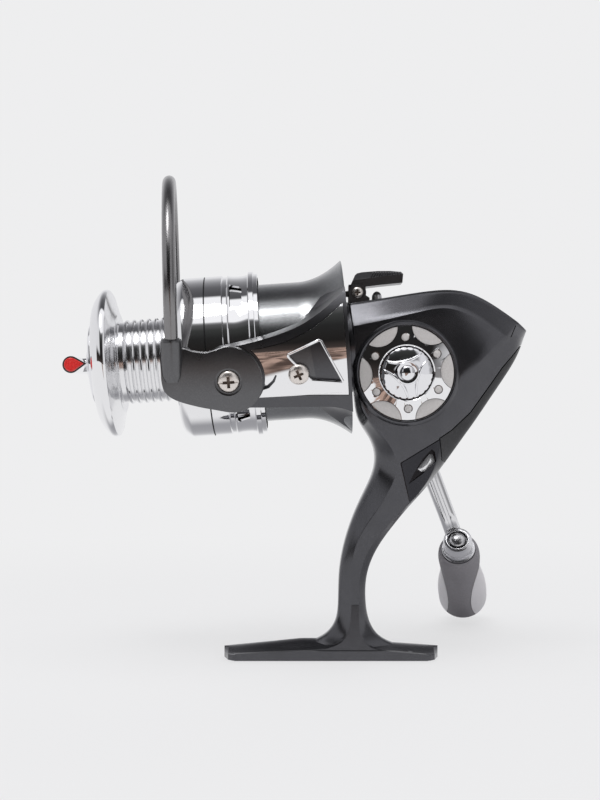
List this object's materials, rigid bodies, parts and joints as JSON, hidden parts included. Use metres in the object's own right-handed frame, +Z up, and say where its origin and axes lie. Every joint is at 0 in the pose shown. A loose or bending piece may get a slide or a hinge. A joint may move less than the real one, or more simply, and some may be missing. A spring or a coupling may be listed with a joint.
{
  "type": "spinning reel",
  "caption": "Front-drag spinning reel on a T-shaped foot, with a skirted spool, flared rotor, wire bail, geared crank and a fold-down handle with a turning knob.",
  "frame": {"origin": "middle of the underside of the foot", "axes": "+Z up from the rod, spool towards -X, handle on +Y"},
  "size_m": [0.1526, 0.1268, 0.1589],
  "materials": {
    "black_body": "satin black with a fine metal fleck",
    "black_satin": "satin black",
    "graphite": "graphite with a fine metal fleck",
    "chrome_part": "bright chrome",
    "chrome_plastic": "chrome-plated plastic",
    "bright_alloy": "polished",
    "matt_grey": "matt grey",
    "steel": "bright",
    "dark_wire": "dark polished",
    "yellow_metal": "plain",
    "white_plastic": "plain",
    "felt": "felt",
    "knob_rubber": "matt",
    "knob_side": "matt light grey",
    "red_tip": "gloss red"
  },
  "bodies": {
    "frame": {"gear_housing": "black_body", "side_cover": "black_body", "cover_screws": "steel", "rear_trim": "black_body", "stem_gem": "chrome_plastic", "disc_plate": "chrome_part", "disc_pads": "matt_grey", "disc_studs": "steel", "front_bearing": "steel", "bearing_retainer": "steel", "retainer_screws": "steel", "clutch_ring": "steel", "drive_bearing_near": "steel", "drive_bearing_far": "steel", "oscillation_post": "steel", "slider_rod": "steel", "lever_bracket": "black_satin", "lever_screw": "steel", "lever_stop": "steel"},
    "clutch": {"clutch_cage": "black_satin", "clutch_rollers": "steel"},
    "reverse_lever": {"anti_reverse_lever": "black_satin"},
    "crank": {"drive_gear": "yellow_metal", "drive_shaft": "steel", "oscillation_pinion": "yellow_metal", "handle_screw": "steel", "handle_cap": "chrome_plastic", "handle_fork": "bright_alloy", "fold_pin": "steel"},
    "oscillation": {"oscillation_gear": "white_plastic"},
    "handle": {"handle_arm": "bright_alloy", "knob_spindle": "steel", "knob_collar": "chrome_part"},
    "knob": {"knob_core": "knob_rubber", "knob_panels": "knob_side"},
    "rotor": {"pinion": "yellow_metal", "clutch_sleeve": "steel", "rotor": "graphite", "rotor_nut": "steel", "near_arm_cover": "chrome_part", "far_arm_cover": "chrome_part", "arm_cover_screws": "steel", "bail_pivots": "steel", "bail_spring": "steel"},
    "bail": {"bail_lever": "black_satin", "roller_arm": "black_satin", "bail_wire": "dark_wire", "roller_screw": "steel"},
    "roller": {"line_roller": "steel"},
    "shaft": {"main_shaft": "steel", "slider": "white_plastic", "click_gear": "steel", "spool_sleeve": "yellow_metal", "drag_metal_washers": "steel"},
    "spool": {"spool": "bright_alloy", "drag_felt_washers": "felt", "drag_clip": "steel"},
    "drag": {"drag_knob": "chrome_plastic", "drag_knob_tips": "red_tip", "drag_nut": "yellow_metal"}
  },
  "joints": [
    {"name": "crank_turn", "type": "hinge", "parent": "frame", "child": "crank", "pos_m": [0.02403, 0, 0.09421], "axis": [0, 1, 0], "continuous": true},
    {"name": "rotor_spin", "type": "hinge", "parent": "frame", "child": "rotor", "pos_m": [0, 0, 0.1027], "axis": [0.9977, 0, 0.068], "continuous": true},
    {"name": "oscillation_turn", "type": "hinge", "parent": "frame", "child": "oscillation", "pos_m": [0.03997, 0, 0.09561], "axis": [0, 1, 0], "continuous": true},
    {"name": "shaft_slide", "type": "slide", "parent": "frame", "child": "shaft", "axis": [-0.9977, 0, -0.068], "range_m": [-0.014, 0]},
    {"name": "spool_spin", "type": "hinge", "parent": "shaft", "child": "spool", "pos_m": [0, 0, 0.1027], "axis": [-0.9977, 0, -0.068], "continuous": true},
    {"name": "drag_knob_turn", "type": "hinge", "parent": "shaft", "child": "drag", "pos_m": [0, 0, 0.1027], "axis": [-0.9977, 0, -0.068], "range_deg": [-180, 540]},
    {"name": "bail_flip", "type": "hinge", "parent": "rotor", "child": "bail", "pos_m": [-0.03292, 0, 0.10046], "axis": [0.017, -0.9681, -0.2498], "range_deg": [0, 105]},
    {"name": "line_roller_spin", "type": "hinge", "parent": "bail", "child": "roller", "pos_m": [-0.04856, 0.03038, 0.10934], "axis": [-0.017, 0.9681, 0.2498], "continuous": true},
    {"name": "handle_fold", "type": "hinge", "parent": "crank", "child": "handle", "pos_m": [0.02403, 0.044, 0.09421], "axis": [-0.9336, 0, -0.3584], "range_deg": [-38, 8]},
    {"name": "knob_spin", "type": "hinge", "parent": "handle", "child": "knob", "pos_m": [0.04768, 0.047, 0.0326], "axis": [0.1385, 0.788, -0.5999], "continuous": true},
    {"name": "reverse_lever_tilt", "type": "hinge", "parent": "frame", "child": "reverse_lever", "pos_m": [0.0086, 0, 0.1209], "axis": [0, 1, 0], "range_deg": [0, 12]},
    {"name": "clutch_cage_turn", "type": "hinge", "parent": "frame", "child": "clutch", "pos_m": [0, 0, 0.1027], "axis": [-0.9977, 0, -0.068], "range_deg": [0, 8]}
  ],
  "couplings": [
    {"joint": "rotor_spin", "follows": "crank_turn", "ratio": 5.25},
    {"joint": "oscillation_turn", "follows": "crank_turn", "ratio": -0.6},
    {"joint": "clutch_cage_turn", "follows": "reverse_lever_tilt", "ratio": 0.66}
  ]
}
